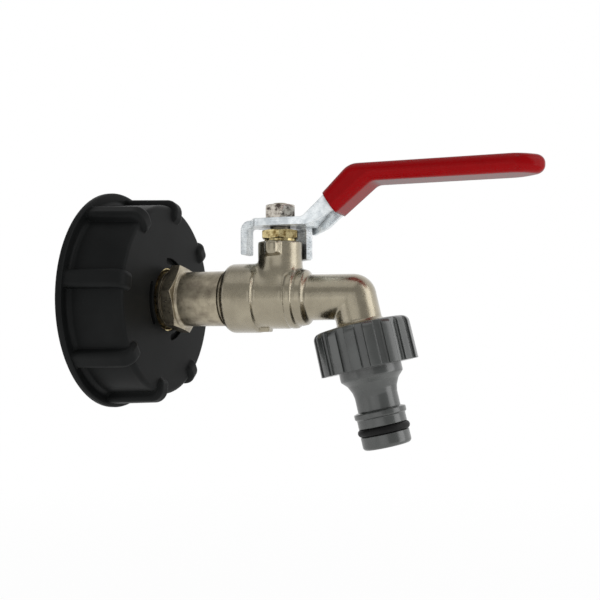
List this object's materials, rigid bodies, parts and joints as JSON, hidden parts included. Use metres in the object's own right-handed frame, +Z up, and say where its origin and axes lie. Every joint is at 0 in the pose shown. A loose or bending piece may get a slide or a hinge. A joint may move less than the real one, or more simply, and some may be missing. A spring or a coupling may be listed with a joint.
{
  "type": "ibc tank valve",
  "caption": "Tank outlet tap: black screw cap, nickel-plated ball valve with a down-turned spout, red-gripped steel lever and grey quick-connect hose nipple.",
  "frame": {"origin": "centre of the screw cap's open mouth, on the thread axis", "axes": "+X along the flow, from the cap to the spout; +Z up the valve stem; the lever lies along +X when open"},
  "size_m": [0.1542, 0.0786, 0.0956],
  "materials": {
    "black_pp": "satin moulded polypropylene",
    "black_rubber": "smooth",
    "brass": "turned",
    "brass_stem": "nickel plated over brass",
    "nickel": "satin nickel plating",
    "nickel_cast": "nickel plated, blasted casting",
    "chrome_ball": "polished",
    "ptfe": "smooth",
    "zinc_steel": "zinc plated",
    "red_vinyl": "dipped vinyl",
    "grey_plastic": "satin moulded plastic"
  },
  "bodies": {
    "valve": {"tank_cap": "black_pp", "cap_seal": "black_rubber", "brass_insert": "brass", "inlet_tailpiece": "nickel", "valve_body": "nickel_cast", "seat_inlet": "ptfe", "seat_outlet": "ptfe", "stem_thrust_washer": "ptfe", "stem_packing": "ptfe", "gland_nut": "brass"},
    "handle": {"lever": "zinc_steel", "lever_grip": "red_vinyl", "lever_nut": "nickel", "stem": "brass_stem"},
    "ball_body": {"ball": "chrome_ball"},
    "washer_body": {"connector_washer": "black_rubber"},
    "connector_body": {"tap_connector": "grey_plastic", "connector_oring": "black_rubber"}
  },
  "joints": [
    {"name": "lever_turn", "type": "hinge", "parent": "valve", "child": "handle", "pos_m": [0.0649, 0, 0.0244], "axis": [0, 0, 1], "range_deg": [-90, 0]},
    {"name": "ball_turn", "type": "hinge", "parent": "valve", "child": "ball_body", "pos_m": [0.0649, 0, 0], "axis": [0, 0, 1], "range_deg": [-90, 0]},
    {"name": "connector_slide", "type": "slide", "parent": "valve", "child": "washer_body", "axis": [0.225, 0, -0.9744], "range_m": [0, 0.0108]},
    {"name": "connector_turn", "type": "hinge", "parent": "washer_body", "child": "connector_body", "pos_m": [0.09586, 0, -0.02017], "axis": [0.225, 0, -0.9744], "range_deg": [0, 2145]}
  ],
  "couplings": [
    {"joint": "ball_turn", "follows": "lever_turn", "ratio": 1},
    {"joint": "connector_turn", "follows": "connector_slide", "rad_per_m": 3463.7}
  ]
}
